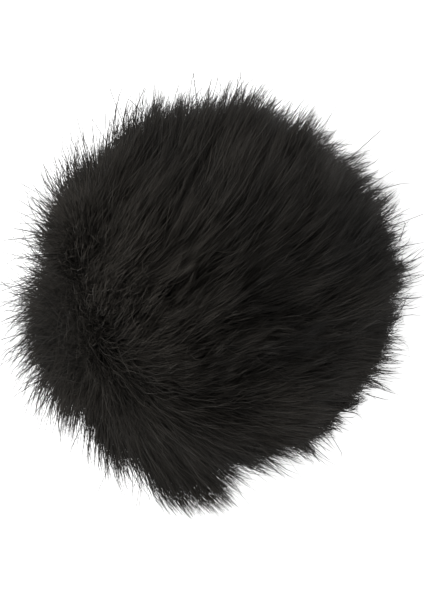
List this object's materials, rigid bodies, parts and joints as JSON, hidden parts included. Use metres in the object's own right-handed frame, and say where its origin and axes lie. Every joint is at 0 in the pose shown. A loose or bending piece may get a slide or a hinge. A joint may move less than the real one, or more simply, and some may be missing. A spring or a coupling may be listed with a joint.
{
  "type": "furry microphone windscreen",
  "caption": "Round fur windscreen that slips over a compact microphone's head: a sewn fur cover pulled over a bored foam insert with a flanged collar.",
  "frame": {"origin": "centre of the neck collar's flat face, which the windscreen stands on", "axes": "+Z runs along the neck's axis from the opening to the closed tip of the fur ball; the four seams lie on the X and Y directions"},
  "size_m": [0.056, 0.056, 0.05],
  "materials": {
    "fur_1": "matte",
    "fur_2": "matte",
    "fur_3": "matte",
    "fur_4": "matte",
    "thread_1": "matte",
    "thread_2": "matte",
    "thread_3": "matte",
    "thread_4": "matte",
    "knit": "matte",
    "elastic": "matte",
    "hem_thread": "matte",
    "foam": "matte",
    "collar": "matte",
    "grip": "matte"
  },
  "bodies": {
    "insert": {"foam_sleeve": "foam", "neck_collar": "collar", "grip_ring": "grip"},
    "fur_cover": {"fur_gore_1": "fur_1", "fur_gore_2": "fur_2", "fur_gore_3": "fur_3", "fur_gore_4": "fur_4", "seam_thread_1": "thread_1", "seam_thread_2": "thread_2", "seam_thread_3": "thread_3", "seam_thread_4": "thread_4", "hem_cuff": "knit", "elastic_ring": "elastic", "hem_thread": "hem_thread"}
  },
  "joints": [
    {"name": "cover_lift", "type": "slide", "parent": "insert", "child": "fur_cover", "axis": [0, 0, 1], "range_m": [0, 0.045]}
  ]
}
